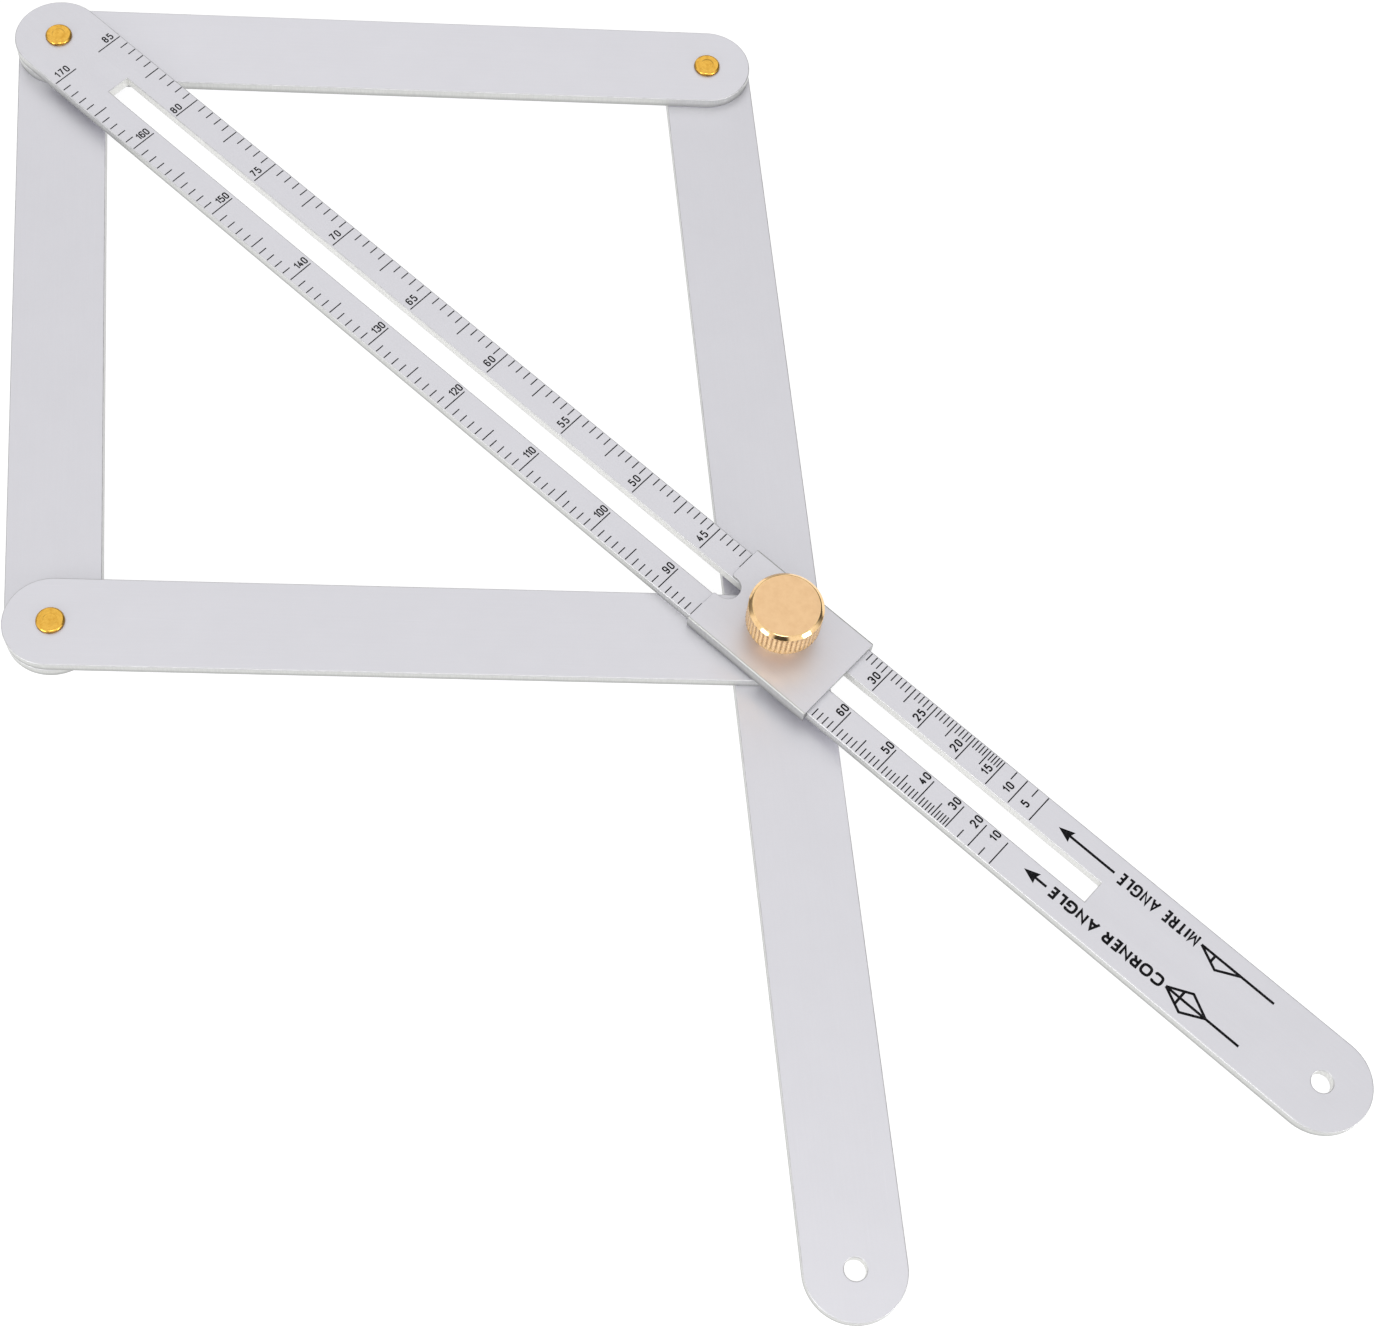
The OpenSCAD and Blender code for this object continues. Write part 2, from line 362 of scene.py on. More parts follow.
def polished_brass(name, rough_low, rough_high):
    """Turned brass, smoother or rougher: the knob's bevel and bore, and the washer."""
    light, dark = (0.97, 0.67, 0.35), (0.88, 0.575, 0.275)
    material, tree, shader = new_material(name, light, 1.0, rough_low)
    blotch = noise(tree, 1.1 * MM, 3, 0.6)
    paint(tree, shader, blotch, (0.35, 0.6), dark, light)
    vary_roughness(tree, shader, blotch, rough_low, rough_high)
    add_bump(tree, shader, noise(tree, 0.4 * MM, 1, 0.5), 0.0015 * MM)
    return material


def knurled_brass():
    """Turned brass with painted shade in the grooves of the knurl and along its lower rim."""
    painted_shade, rim_reach = (0.34, 0.19, 0.07), 2.5 * MM
    material = polished_brass("knurled_brass", 0.22, 0.34)
    tree = material.node_tree
    colour = tree.nodes["Principled BSDF"].inputs["Base Color"]
    groove_mouth, groove_foot = KNOB_R - 0.2 * GROOVE_DEPTH, KNOB_R - GROOVE_DEPTH
    # Painted shade: the grooves' bottoms and the wall just above the flange are darkened, standing in for the
    # shade in the grooves and under the knob.
    groove_shade = remap(tree, axis_distance(tree), (groove_mouth, groove_foot), (0, 0.75))
    height = height_of(tree, place_coords(tree))
    rim_shade = remap(tree, height, (FLANGE_Z + rim_reach, FLANGE_Z), (0, 0.45))
    painted_shade_mask = math_node(tree, "MAXIMUM", groove_shade, rim_shade)
    tree.links.new(mix_colours(tree, painted_shade_mask, colour.links[0].from_socket, painted_shade), colour)
    return material


def turned_steel():
    """The stud, with fine marks from the lathe."""
    light, dark = (0.66, 0.66, 0.68), (0.51, 0.51, 0.53)
    material, tree, shader = new_material("turned_steel", light, 1.0, 0.32)
    marks = noise(tree, 0.3 * MM, 2, 0.5)
    paint(tree, shader, marks, (0.35, 0.65), dark, light)
    add_bump(tree, shader, marks, 0.004 * MM)
    return material


def printed_ink():
    """Matt ink of the scales, a little worn in patches."""
    solid, worn = (0.004, 0.004, 0.005), (0.03, 0.03, 0.033)
    material, tree, shader = new_material("printed_ink", solid, 0.0, 0.6)
    shader.inputs["Specular IOR Level"].default_value = 0.06
    wear = noise(tree, 0.35 * MM, 3, 0.6)
    paint(tree, shader, wear, (0.5, 0.72), solid, worn)
    vary_roughness(tree, shader, wear, 0.5, 0.7)
    return material


def studio_paper():
    """White paper that glows a little, so that the gaps of the linkage stay white too."""
    grey, dark, light = (0.30, 0.30, 0.30), (0.28, 0.28, 0.285), (0.31, 0.31, 0.31)
    glow_near, glow_far, fade_from, fade_to = 0.82, 0.3, 0.5, 1.6
    material, tree, shader = new_material("studio_paper", grey, 0.0, 0.9)
    fibre = noise(tree, 20 * MM, 3, 0.6)
    tree.links.new(mix_colours(tree, fibre, dark, light), shader.inputs["Base Color"])
    # The glow fades outwards, so that polished metal finds something darker to reflect
    glow = remap(tree, axis_distance(tree), (fade_from, fade_to), (glow_near, glow_far))
    shader.inputs["Emission Color"].default_value = (1, 1, 1, 1)
    tree.links.new(glow, shader.inputs["Emission Strength"])
    shader.inputs["Specular IOR Level"].default_value = 0.0
    return material


# ---------------------------------------------------------------- mesh helpers


def mesh_object(name, bm, materials, sharp_deg=38):
    """Turns a bmesh into a linked object with smooth shading that breaks at sharp edges."""
    bmesh.ops.recalc_face_normals(bm, faces=bm.faces)
    mesh = bpy.data.meshes.new(name)
    bm.to_mesh(mesh)
    bm.free()
    mesh.set_sharp_from_angle(angle=math.radians(sharp_deg))
    for material in materials:
        mesh.materials.append(material)
    piece = bpy.data.objects.new(name, mesh)
    bpy.context.scene.collection.objects.link(piece)
    return piece


def arc(centre, radius, first, last, steps):
    """Points on an arc from angle first to angle last, both included."""
    angles = (first + (last - first) * i / steps for i in range(steps + 1))
    return [Vector((centre[0] + radius * math.cos(a), centre[1] + radius * math.sin(a))) for a in angles]


def stadium(reach, radius):
    """A bar's outline, with full-round ends."""
    def points(inset):
        r = radius - inset
        return (arc((0, 0), r, math.pi / 2, 3 * math.pi / 2, ROUND_STEPS)
                + arc((reach, 0), r, -math.pi / 2, math.pi / 2, ROUND_STEPS))
    return points, 0


def round_hole(x, radius, sink=0):
    """A hole on the bar's centre line, with a 45 degree countersink of depth sink from below."""
    def points(inset):
        return arc((x, 0), radius + inset, 0, -TAU, ROUND_STEPS)[:-1]
    return points, sink


def slot_hole(start, end, half_w):
    """A square-ended slot."""
    def points(inset):
        low, high, w = start - inset, end + inset, half_w + inset
        return [Vector(p) for p in ((low, -w), (low, w), (high, w), (high, -w))]
    return points, 0


def plate(name, loops, low, high, edge, materials):
    """Flat plate with rounded edges. A loop is its points at an inset, as a function, and the depth
    of its countersink. The first loop is the outline and the others are holes.
    Material 0 is on the two faces, 1 on the rounded edges, 2 on the outer wall and 3 in the holes."""
    quarter = [math.pi / 2 * k / EDGE_STEPS for k in range(EDGE_STEPS + 1)]
    rise = [(edge * (1 - math.cos(a)), edge * (1 - math.sin(a))) for a in quarter]
    bm = bmesh.new()
    caps = ([], [])
    for loop, (points, sink) in enumerate(loops):
        rows = [(low, sink), (low + sink, 0)] if sink else [(low + z, inset) for z, inset in rise]
        wall_rows = (0, 1) if sink else (EDGE_STEPS,)
        rows += [(high - z, inset) for z, inset in reversed(rise)]
        rings = [[bm.verts.new((p.x, p.y, z)) for p in points(inset)] for z, inset in rows]
        wall_material = 3 if loop else 2
        for row, (lower, upper) in enumerate(zip(rings, rings[1:])):
            for i in range(len(lower)):
                j = (i + 1) % len(lower)
                face = bm.faces.new((lower[i], lower[j], upper[j], upper[i]))
                face.smooth = True
                face.material_index = wall_material if row in wall_rows else 1
        caps[0].append(rings[0])
        caps[1].append(rings[-1])
    for rings in caps:
        flat = [v for ring in rings for v in ring]
        for corners in tessellate_polygon([[v.co for v in ring] for ring in rings]):
            bm.faces.new([flat[i] for i in corners])
    return mesh_object(name, bm, materials)


def lathe(name, profile, steps, materials, radius_at=None, sharp_deg=38):
    """Solid of revolution about Z. profile lists (radius, z, material) from the axis to the axis,
    or for a ring all the way back to its first point.
    radius_at(radius, z, angle), if given, changes the radius round the turn, as a knurl does."""
    bm = bmesh.new()
    rings = []
    for radius, z, _ in profile:
        if rings and (radius, z) == profile[0][:2]:
            rings.append(rings[0])
            continue
        if radius == 0:
            rings.append([bm.verts.new((0, 0, z))])
            continue
        ring = []
        for i in range(steps):
            angle = TAU * i / steps
            r = radius_at(radius, z, angle) if radius_at else radius
            ring.append(bm.verts.new((r * math.cos(angle), r * math.sin(angle), z)))
        rings.append(ring)
    for (lower, upper), (_, _, material) in zip(zip(rings, rings[1:]), profile[1:]):
        for i in range(steps):
            j = (i + 1) % steps
            corners = [lower[i % len(lower)], lower[j % len(lower)],
                       upper[j % len(upper)], upper[i % len(upper)]]
            # At the axis two corners are one point, and the face has three sides
            face = bm.faces.new(list(dict.fromkeys(corners)))
            face.smooth = True
            face.material_index = material
    return mesh_object(name, bm, materials, sharp_deg)


def rounded(corner, radius, material, start_deg, end_deg, steps=4):
    """Profile points of a rounded corner about the centre corner, from one angle to another."""
    points = arc(corner, radius, math.radians(start_deg), math.radians(end_deg), steps)
    return [(p.x, p.y, material) for p in points]


def put(piece, place, turn, body, node, flat=True):
    """Places a piece at a pivot, turns it, ties it to its body and hides its CAD node.
    flat keeps large faces flat right up to their rounded edges."""
    piece.location = (place.x, place.y, 0)
    piece.rotation_euler = (0, 0, turn)
    if flat:
        piece.modifiers.new("flat_faces_stay_flat", "WEIGHTED_NORMAL").keep_sharp = True
    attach(piece, body)
    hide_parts(node)


# ---------------------------------------------------------------- bars


def sink_depth(foot_r, hole_r):
    """Depth of a countersink that just clears a flush 45 degree foot."""
    return FOOT_RECESS + foot_r - hole_r + 2 * SEAT_GAP


def make_bars():
    """The scale and the four arms, each in a copy of one metal made a little lighter or darker by its tone, as
    painted light and shade.
    """
    edge, bore = edge_aluminium(), cut_aluminium()
    running, seated = RIVET_SHANK_R + RUNNING_GAP, RIVET_SHANK_R + SEAT_GAP
    foot_sink, head_sink = sink_depth(RIVET_FOOT_R, RIVET_SHANK_R), sink_depth(STUD_HEAD_R, STUD_R)
    # The sixth column, tone, makes each bar's faces lighter or darker: painted light and shade, with the top arm
    # painted lightest.
    bars = (
        ("scale_ruler", "scale", APEX, 0, SCALE_REACH, 1.0,
         [round_hole(0, seated), round_hole(SCALE_REACH, HANG_R),
          slot_hole(SLOT_START, SLOT_END, SLOT_HALF_W)]),
        ("top_arm", "top_arm", APEX, HALF_ANGLE, PIVOT_SPACING, 1.05,
         [round_hole(0, running), round_hole(PIVOT_SPACING, running)]),
        ("left_arm", "left_arm", APEX, -HALF_ANGLE, PIVOT_SPACING, 0.97,
         [round_hole(0, running, foot_sink), round_hole(PIVOT_SPACING, seated, foot_sink)]),
        ("bottom_arm", "bottom_arm", LOWER, HALF_ANGLE, PIVOT_SPACING, 0.99,
         [round_hole(0, running), round_hole(PIVOT_SPACING, STUD_R + RUNNING_GAP)]),
        ("long_arm", "long_arm", UPPER, -HALF_ANGLE, LONG_REACH, 0.98,
         [round_hole(0, seated, foot_sink), round_hole(PIVOT_SPACING, STUD_R + SEAT_GAP, head_sink),
          round_hole(LONG_REACH, HANG_R)]),
    )
    for node, body, place, turn, reach, tone, holes in bars:
        low, high = heights(node)
        face = satin_aluminium("satin_" + node, tone)
        side = milled_aluminium_shaded_below("milled_" + node, low, high)
        piece = plate(node + "_bar", [stadium(reach, BAR_R), *holes], low, high, BAR_EDGE,
                      (face, edge, side, bore))
        put(piece, place, turn, body, node)


# ---------------------------------------------------------------- rivets and stud


def make_rivets():
    """Brass rivets: countersunk foot, shank, and a peened head with a raised middle."""
    bright = peened_brass("peened_brass", (0.90, 0.52, 0.09), (0.78, 0.42, 0.06), 0.24)
    # The dark brass on the head's side wall and lower shoulder is painted shade, standing in for the shadow round
    # the head.
    shaded_brass = peened_brass("painted_shade_brass", (0.42, 0.23, 0.05), (0.24, 0.12, 0.03), 0.4)
    # Radius and height of the head's profile, as shares of its radius and height, and whether it takes the painted
    # shade
    crown = ((1, 0.06, 1), (1, 0.30, 1), (0.993, 0.48, 1), (0.973, 0.64, 1), (0.941, 0.78, 0),
             (0.90, 0.89, 0), (0.855, 0.955, 0), (0.80, 0.975, 0), (0.72, 0.96, 0), (0.56, 0.90, 0),
             (0.50, 0.90, 0), (0.46, 0.97, 0), (0.41, 1.0, 0), (0.2, 1.0, 0), (0, 1.0, 0))
    rivets = (("apex_rivet", "scale", APEX, "scale_ruler"),
              ("upper_rivet", "long_arm", UPPER, "top_arm"),
              ("lower_rivet", "left_arm", LOWER, "bottom_arm"))
    for node, body, place, under in rivets:
        seat_z, top = heights(under)[1], heights(node)[1]
        head_r, head_h = width_of(node) / 2, top - seat_z
        countersink = FOOT_RECESS + RIVET_FOOT_R - RIVET_SHANK_R
        profile = [(0, FOOT_RECESS, 0), (RIVET_FOOT_R, FOOT_RECESS, 0), (RIVET_SHANK_R, countersink, 0),
                   (RIVET_SHANK_R, seat_z + RUNNING_GAP / 2, 0),
                   (head_r * 0.96, seat_z + RUNNING_GAP / 2, 0)]
        profile += [(head_r * r, seat_z + head_h * h, painted_shade) for r, h, painted_shade in crown]
        piece = lathe(node + "_turned", profile, 64, (bright, shaded_brass))
        put(piece, place, 0, body, node, False)


def make_stud():
    """Stud: flush countersunk head, plain pivot shank, then a threaded end with its V rings."""
    top = heights("clamp_stud")[1]
    depth, chamfer = 0.35 * MM, 0.6 * MM
    z = heights("slider")[1] + 0.1 * MM
    profile = [(0, FOOT_RECESS, 0), (STUD_HEAD_R, FOOT_RECESS, 0),
               (STUD_R, FOOT_RECESS + STUD_HEAD_R - STUD_R, 0), (STUD_R, z, 0)]
    while z + THREAD_PITCH < top - chamfer:
        profile += [(STUD_R - depth, z + THREAD_PITCH / 2, 0), (STUD_R, z + THREAD_PITCH, 0)]
        z += THREAD_PITCH
    profile += [(STUD_R, top - chamfer, 0), (STUD_R - chamfer, top, 0), (0, top, 0)]
    put(lathe("clamp_stud_turned", profile, 64, (turned_steel(),)), CLAMP, 0,
        "long_arm", "clamp_stud", False)


# ---------------------------------------------------------------- slider


def slider_lip(half_w, low, high):
    """The lip and the fold of one side, as (y, z) in the outer and in the inner skin."""
    crease = 0.15 * MM
    outer = [Vector((half_w, low))]
    outer += arc((half_w - FOLD_R, high - FOLD_R), FOLD_R, 0, math.pi / 2, 6)
    inner = [Vector((half_w - SHEET_T, low))]
    inner += arc((half_w - SHEET_T - crease, high - SHEET_T - crease), crease, 0, math.pi / 2, 6)
    return outer, inner


def slider_section(lip, high):
    """The apex end from lip to lip, as (x from the edge, outer skin's (y, z), inner skin's)."""
    mouth = arc((NOTCH_MOUTH_R, NOTCH_R + NOTCH_MOUTH_R), NOTCH_MOUTH_R, math.pi, 3 * math.pi / 2, 6)
    notch = arc((NOTCH_DEPTH - NOTCH_R, 0), NOTCH_R, math.pi / 2, 0, 14)
    half = [(0.0, p, q) for p, q in zip(*lip)]
    half += [(p.x, Vector((p.y, high)), Vector((p.y, high - SHEET_T))) for p in mouth + notch]
    other = [(x, Vector((-p.x, p.y)), Vector((-q.x, q.y))) for x, p, q in reversed(half[:-1])]
    return half + other


def add_skin(bm, section, which, rows, z):
    """One skin of the sheet: two skirts of that many rows, and the top at height z in two halves
    that meet at the notch, round the stud's hole and at the tail. Returns its three rims."""
    start, end, middle = -SLIDER_LEN / 2, SLIDER_LEN / 2, len(section) // 2
    near = [bm.verts.new((start + row[0], *row[which])) for row in section]
    tail = section[:rows] + [section[middle]] + section[-rows:]
    far = [bm.verts.new((end, *row[which])) for row in tail]
    ring = arc((0, 0), STUD_R + RUNNING_GAP, math.pi, -math.pi, ROUND_STEPS)[:-1]
    bore = [bm.verts.new((p.x, p.y, z)) for p in ring]
    bore.append(bore[0])
    near_sides, far_sides = near[:rows] + near[-rows:], far[:rows] + far[-rows:]
    for i in (*range(rows - 1), *range(rows, 2 * rows - 1)):
        skirt = bm.faces.new((near_sides[i], far_sides[i], far_sides[i + 1], near_sides[i + 1]))
        skirt.smooth = True
        skirt.material_index = 2
    half = ROUND_STEPS // 2
    bm.faces.new((*near[rows - 1:middle + 1], *bore[:half + 1], far[rows], far[rows - 1]))
    bm.faces.new((*near[middle:len(near) - rows + 1], far[rows + 1], far[rows], *bore[half:]))
    return near, far, bore


def make_slider():
    """Folded sheet channel: one skin outside and one inside, joined along their rims."""
    low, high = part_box("slider")
    lip = slider_lip((high.y - low.y) / 2, low.z, high.z)
    section = slider_section(lip, high.z)
    bm = bmesh.new()
    outer = add_skin(bm, section, 1, len(lip[0]), high.z)
    inner = add_skin(bm, section, 2, len(lip[0]), high.z - SHEET_T)
    # The rims between the skins take material 1, the rim metal painted dark as shade.
    for outer_rim, inner_rim in zip(outer, inner):
        for i in range(len(outer_rim) - 1):
            wall = bm.faces.new((outer_rim[i], outer_rim[i + 1], inner_rim[i + 1], inner_rim[i]))
            wall.material_index = 1
    for i in (0, -1):
        bm.faces.new((outer[0][i], outer[1][i], inner[1][i], inner[0][i]))
    face = satin_aluminium("satin_slider", 0.98)
    # The skirt takes the milled metal at 0.86 of the bars' tone: painted shade on the slider's sides, on top of
    # the painted shade at their foot.
    shaded_skirt_metal = milled_aluminium_shaded_below("milled_slider", low.z, high.z - FOLD_R, 0.86)
    piece = mesh_object("slider_channel", bm, (face, shaded_rim_aluminium(), shaded_skirt_metal))
    bevel = piece.modifiers.new("edge", "BEVEL")
    bevel.width, bevel.segments = 0.12 * MM, 3
    bevel.limit_method, bevel.angle_limit = "ANGLE", math.radians(50)
    put(piece, CLAMP, 0, "slider", "slider")


# ---------------------------------------------------------------- washer and knob


def make_washer(brass):
    """Flat ring between the slider and the knob's boss."""
    low, high = heights("knob_washer")
    radius, bore, edge = width_of("knob_washer") / 2, STUD_R + RUNNING_GAP, 0.15 * MM
    profile = [(bore, low, 0)]
    profile += rounded((radius - edge, low + edge), edge, 0, -90, 0)
    profile += rounded((radius - edge, high - edge), edge, 0, 0, 90)
    profile += [(bore, high, 0), (bore, low, 0)]
    piece = lathe("knob_washer_ring", profile, 64, (brass,))
    put(piece, CLAMP, 0, "washer", "knob_washer")


# The knob's materials, in the order that make_knob gives them
KNURL, POLISH, SATIN, TURNED = range(4)


def knurled(radius, z, angle):
    """Cuts a V groove once a pitch into the knob's wall. The grooves run out at both ends."""
    if radius < KNOB_R or not KNURL_START < z < WALL_TOP:
        return radius
    pitch = TAU / TEETH
    off = abs((angle / pitch + 0.5) % 1 - 0.5) * pitch * KNOB_R
    cut = GROOVE_DEPTH * max(0, 1 - off / GROOVE_HALF_W)
    return KNOB_R - cut * min(1, (z - KNURL_START) / KNURL_FADE, (WALL_TOP - z) / KNURL_FADE)


def knob_profile():
    """Bore, boss, flange, knurled wall, bevel, rounded rim and top, each with its material."""
    bore, bore_end = STUD_R + RUNNING_GAP, KNOB_TOP - 1.6 * MM
    soft, rim = 0.06 * MM, 0.5 * MM
    profile = [(0, bore_end, TURNED), (bore, bore_end, TURNED), (bore, KNOB_LOW, TURNED),
               (BOSS_R - soft, KNOB_LOW, TURNED), (BOSS_R, KNOB_LOW + soft, SATIN),
               (BOSS_R, FLANGE_Z, SATIN), (KNOB_R - FLANGE_CHAMFER, FLANGE_Z, SATIN),
               (KNOB_R, FLANGE_Z + FLANGE_CHAMFER, KNURL), (KNOB_R, KNURL_START, KNURL)]
    full_low, full_high = KNURL_START + KNURL_FADE, WALL_TOP - KNURL_FADE
    for share in (0, 0.25, 0.5, 0.75, 1):
        profile.append((KNOB_R, full_low + (full_high - full_low) * share, KNURL))
    profile += [(KNOB_R, WALL_TOP - soft / 2, KNURL), (KNOB_R - soft / 2, WALL_TOP + soft / 2, POLISH)]
    for share in (0.1, 0.2, 0.3, 0.36, 0.5):
        profile.append((KNOB_R - KNOB_BEVEL * share, WALL_TOP + KNOB_BEVEL * share, POLISH))
    rim_in = KNOB_R - KNOB_BEVEL - rim * math.tan(math.pi / 8)
    profile += rounded((rim_in, KNOB_TOP - rim), rim, POLISH, 45, 90)
    return profile + [(KNOB_R * share, KNOB_TOP, SATIN) for share in (0.6, 0.2, 0)]


def make_knob(turned):
    """Knurled knob: plain boss, straight knurl, polished bevel and satin top."""
    metals = (knurled_brass(), polished_brass("polished_brass", 0.07, 0.12), satin_brass(), turned)
    piece = lathe("clamp_knob_turned", knob_profile(), TEETH * 12, metals,
                  radius_at=knurled, sharp_deg=50)
    put(piece, CLAMP, 0, "knob", "clamp_knob")


# ---------------------------------------------------------------- print on the scale


def line_x(half_deg):
    """Distance from the apex to the line of a half angle, as the CAD scales have it."""
    if half_deg >= COARSE_START_DEG:
        return 2 * PIVOT_SPACING * math.cos(math.radians(half_deg)) - SLIDER_LEN / 2 - READING_GAP
    return line_x(COARSE_START_DEG) + (COARSE_START_DEG - half_deg) * COARSE_PITCH


def join_rings(bm, ring, after):
    """Closes the wall between two rings of vertices."""
    for i in range(len(ring)):
        j = (i + 1) % len(ring)
        bm.faces.new((ring[i], ring[j], after[j], after[i]))


def add_patch(bm, corners):
    """Adds a flat ink shape with these corners."""
    low, high = ([bm.verts.new((x, y, z)) for x, y in corners] for z in (SCALE_TOP, SCALE_TOP + INK_T))
    join_rings(bm, low, high)
    bm.faces.new(low)
    bm.faces.new(high)


def add_stroke(bm, points, width, closed=False, level=0):
    """Adds an ink line along points, mitred at its corners. Lines that cross take different
    levels, which are very small steps in height."""
    top = SCALE_TOP + INK_T + level * 0.0008 * MM
    points = [Vector(p) for p in points]
    count = len(points)
    rings = []
    for i, point in enumerate(points):
        ways = []
        if closed or i > 0:
            ways.append((point - points[i - 1]).normalized())
        if closed or i < count - 1:
            ways.append((points[(i + 1) % count] - point).normalized())
        along = (ways[0] + ways[-1]).normalized()
        side = Vector((-along.y, along.x)) * width / 2 / max(0.5, along.dot(ways[0]))
        right, left = point - side, point + side
        section = ((right, SCALE_TOP), (left, SCALE_TOP), (left, top), (right, top))
        rings.append([bm.verts.new((*spot, z)) for spot, z in section])
    for i in range(count if closed else count - 1):
        join_rings(bm, rings[i], rings[(i + 1) % count])
    if not closed:
        bm.faces.new(rings[0])
        bm.faces.new(rings[-1])


def soften(corners, radius, closed):
    """Rounds a path's corners. A corner is (x, y), or (x, y, 0) to stay sharp."""
    path = []
    for i, corner in enumerate(corners):
        here = Vector(corner[:2])
        if len(corner) == 3 or (not closed and i in (0, len(corners) - 1)):
            path.append(here)
            continue
        back = Vector(corners[i - 1][:2]) - here
        ahead = Vector(corners[(i + 1) % len(corners)][:2]) - here
        cut = min(radius, back.length / 2, ahead.length / 2)
        start, end = here + back.normalized() * cut, here + ahead.normalized() * cut
        for k in range(5):
            t = k / 4
            path.append(start * (1 - t) ** 2 + here * 2 * t * (1 - t) + end * t * t)
    # Two arcs that meet leave the same point twice
    first = path[0] if closed else None
    return [p for p, after in zip(path, path[1:] + [first]) if after is None or (p - after).length > 1e-7]


def finish_print(name, bm, ink):
    """Lays a finished piece of print on the scale."""
    piece = mesh_object(name, bm, (ink,))
    piece.location = (APEX.x, APEX.y, 0)
    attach(piece, "scale")


# Glyphs: how wide each is, and its strokes in a unit box as (closed or not, corners)
SIX = [(False, [(1, 0.8), (1, 1), (0, 1), (0, 0), (1, 0), (1, 0.58), (0, 0.58)])]
GLYPHS = {
    "0": (1, [(True, [(0, 0), (1, 0), (1, 1), (0, 1)])]),
    "1": (0.44, [(False, [(-0.25, 0.74), (1, 1, 0), (1, 0)])]),
    "2": (1, [(False, [(0, 0.74), (0, 1), (1, 1), (1, 0.6), (0, 0, 0), (1, 0)])]),
    "3": (1, [(False, [(0, 0.8), (0, 1), (1, 1), (1, 0.53), (0.35, 0.53)]),
              (False, [(0.35, 0.53), (1, 0.53), (1, 0), (0, 0), (0, 0.2)])]),
    "4": (1, [(False, [(0.62, 1), (0, 0.26, 0), (1.05, 0.26)]), (False, [(0.72, 0.62), (0.72, 0)])]),
    "5": (1, [(False, [(0.95, 1), (0.08, 1, 0), (0.03, 0.6, 0), (1, 0.62), (1, 0), (0, 0), (0, 0.2)])]),
    "6": (1, SIX),
    "7": (1, [(False, [(0, 1), (1, 1, 0), (0.35, 0)])]),
    "8": (1, [(True, [(0, 0), (1, 0), (1, 0.54), (0, 0.54)]),
              (True, [(0.04, 0.54), (0.96, 0.54), (0.96, 1), (0.04, 1)])]),
    "9": (1, [(closed, [(1 - p[0], 1 - p[1]) for p in corners]) for closed, corners in SIX]),
    "A": (1.15, [(False, [(0, 0), (0.5, 1, 0), (1, 0)]), (False, [(0.18, 0.34), (0.82, 0.34)])]),
    "C": (1.1, [(False, [(1, 0.8), (0.95, 1), (0, 1), (0, 0), (0.95, 0), (1, 0.2)])]),
    "E": (0.7, [(False, [(1, 1), (0, 1, 0), (0, 0, 0), (1, 0)]), (False, [(0, 0.5), (0.9, 0.5)])]),
    "G": (1.15, [(False, [(1, 0.8), (0.95, 1), (0, 1), (0, 0), (1, 0), (1, 0.46, 0), (0.55, 0.46)])]),
    "I": (0, [(False, [(0, 0), (0, 1)])]),
    "L": (0.65, [(False, [(0, 1), (0, 0, 0), (1, 0)])]),
    "M": (1.25, [(False, [(0, 0), (0, 1, 0), (0.5, 0.25, 0), (1, 1, 0), (1, 0)])]),
    "N": (1.0, [(False, [(0, 0), (0, 1, 0), (1, 0, 0), (1, 1)])]),
    "O": (1.2, [(True, [(0, 0), (1, 0), (1, 1), (0, 1)])]),
    "R": (0.8, [(False, [(0, 0), (0, 1, 0), (1, 1), (1, 0.47), (0, 0.47)]),
                (False, [(0.5, 0.47), (1, 0)])]),
    "T": (0.85, [(False, [(0, 1), (1, 1)]), (False, [(0.5, 1), (0.5, 0)])]),
    " ": (0.1, []),
}


def glyph_room(text, stroke, gap):
    """The sum of the glyphs' widths, and the length that strokes and gaps add to a line of text."""
    return sum(GLYPHS[c][0] for c in text), len(text) * stroke + (len(text) - 1) * gap


def write(bm, text, start, along, width, height, stroke, gap):
    """Writes text in ink from its lower left corner. Its up direction is to the left of along."""
    start, along = Vector(start), Vector(along)
    up = Vector((-along.y, along.x))
    pen = stroke / 2
    for glyph in text:
        share, strokes = GLYPHS[glyph]
        for level, (closed, corners) in enumerate(strokes):
            path = []
            for corner in corners:
                spot = start + along * (pen + share * width * corner[0])
                spot += up * (stroke / 2 + (height - stroke) * corner[1])
                path.append((*spot, *corner[2:]))
            path = soften(path, max(0.51 * width, 0.3 * height), closed)
            add_stroke(bm, path, stroke, closed, level)
        pen += share * width + stroke + gap


def make_numbers(ink):
    """Numbers beside the long lines: half angles on the +Y edge, included angles on the other."""
    width, height = 0.74 * MM, 1.94 * MM
    thin, thick, tight, loose = 0.31 * MM, 0.35 * MM, 0.17 * MM, 0.38 * MM
    # Where a number ends on the two edges, in millimetres; others end at usual_end
    ends = {85: (8.65, -4.65), 80: (5.9, -4.0), 75: (6.35, -3.6), 70: (6.7, -3.5), 65: (6.4, -3.55),
            60: (6.95, -3.2), 55: (6.95, -3.55), 50: (6.95, -3.3), 45: (6.95, -3.6), 5: (6.05, -3.1)}
    usual_end = (7.0, -3.1)
    for edge, name in enumerate(("half_angle_numbers", "included_angle_numbers")):
        bm = bmesh.new()
        for half_deg in range(85, 0, -5):
            text = str(half_deg * (edge + 1))
            stroke = thin if half_deg > 30 else thick
            gap = tight if len(text) == 3 and half_deg < 85 else loose
            shares, rest = glyph_room(text, stroke, gap)
            # From the number's middle to its line
            beside = {10: 2.0, 5: 2.8}.get(half_deg, 1.6 if half_deg > 20 else 1.8) * MM
            end_y = ends.get(half_deg, usual_end)[edge] * MM
            start = (line_x(half_deg) - beside + height / 2, end_y - shares * width - rest)
            write(bm, text, start, (0, 1), width, height, stroke, gap)
        finish_print(name, bm, ink)


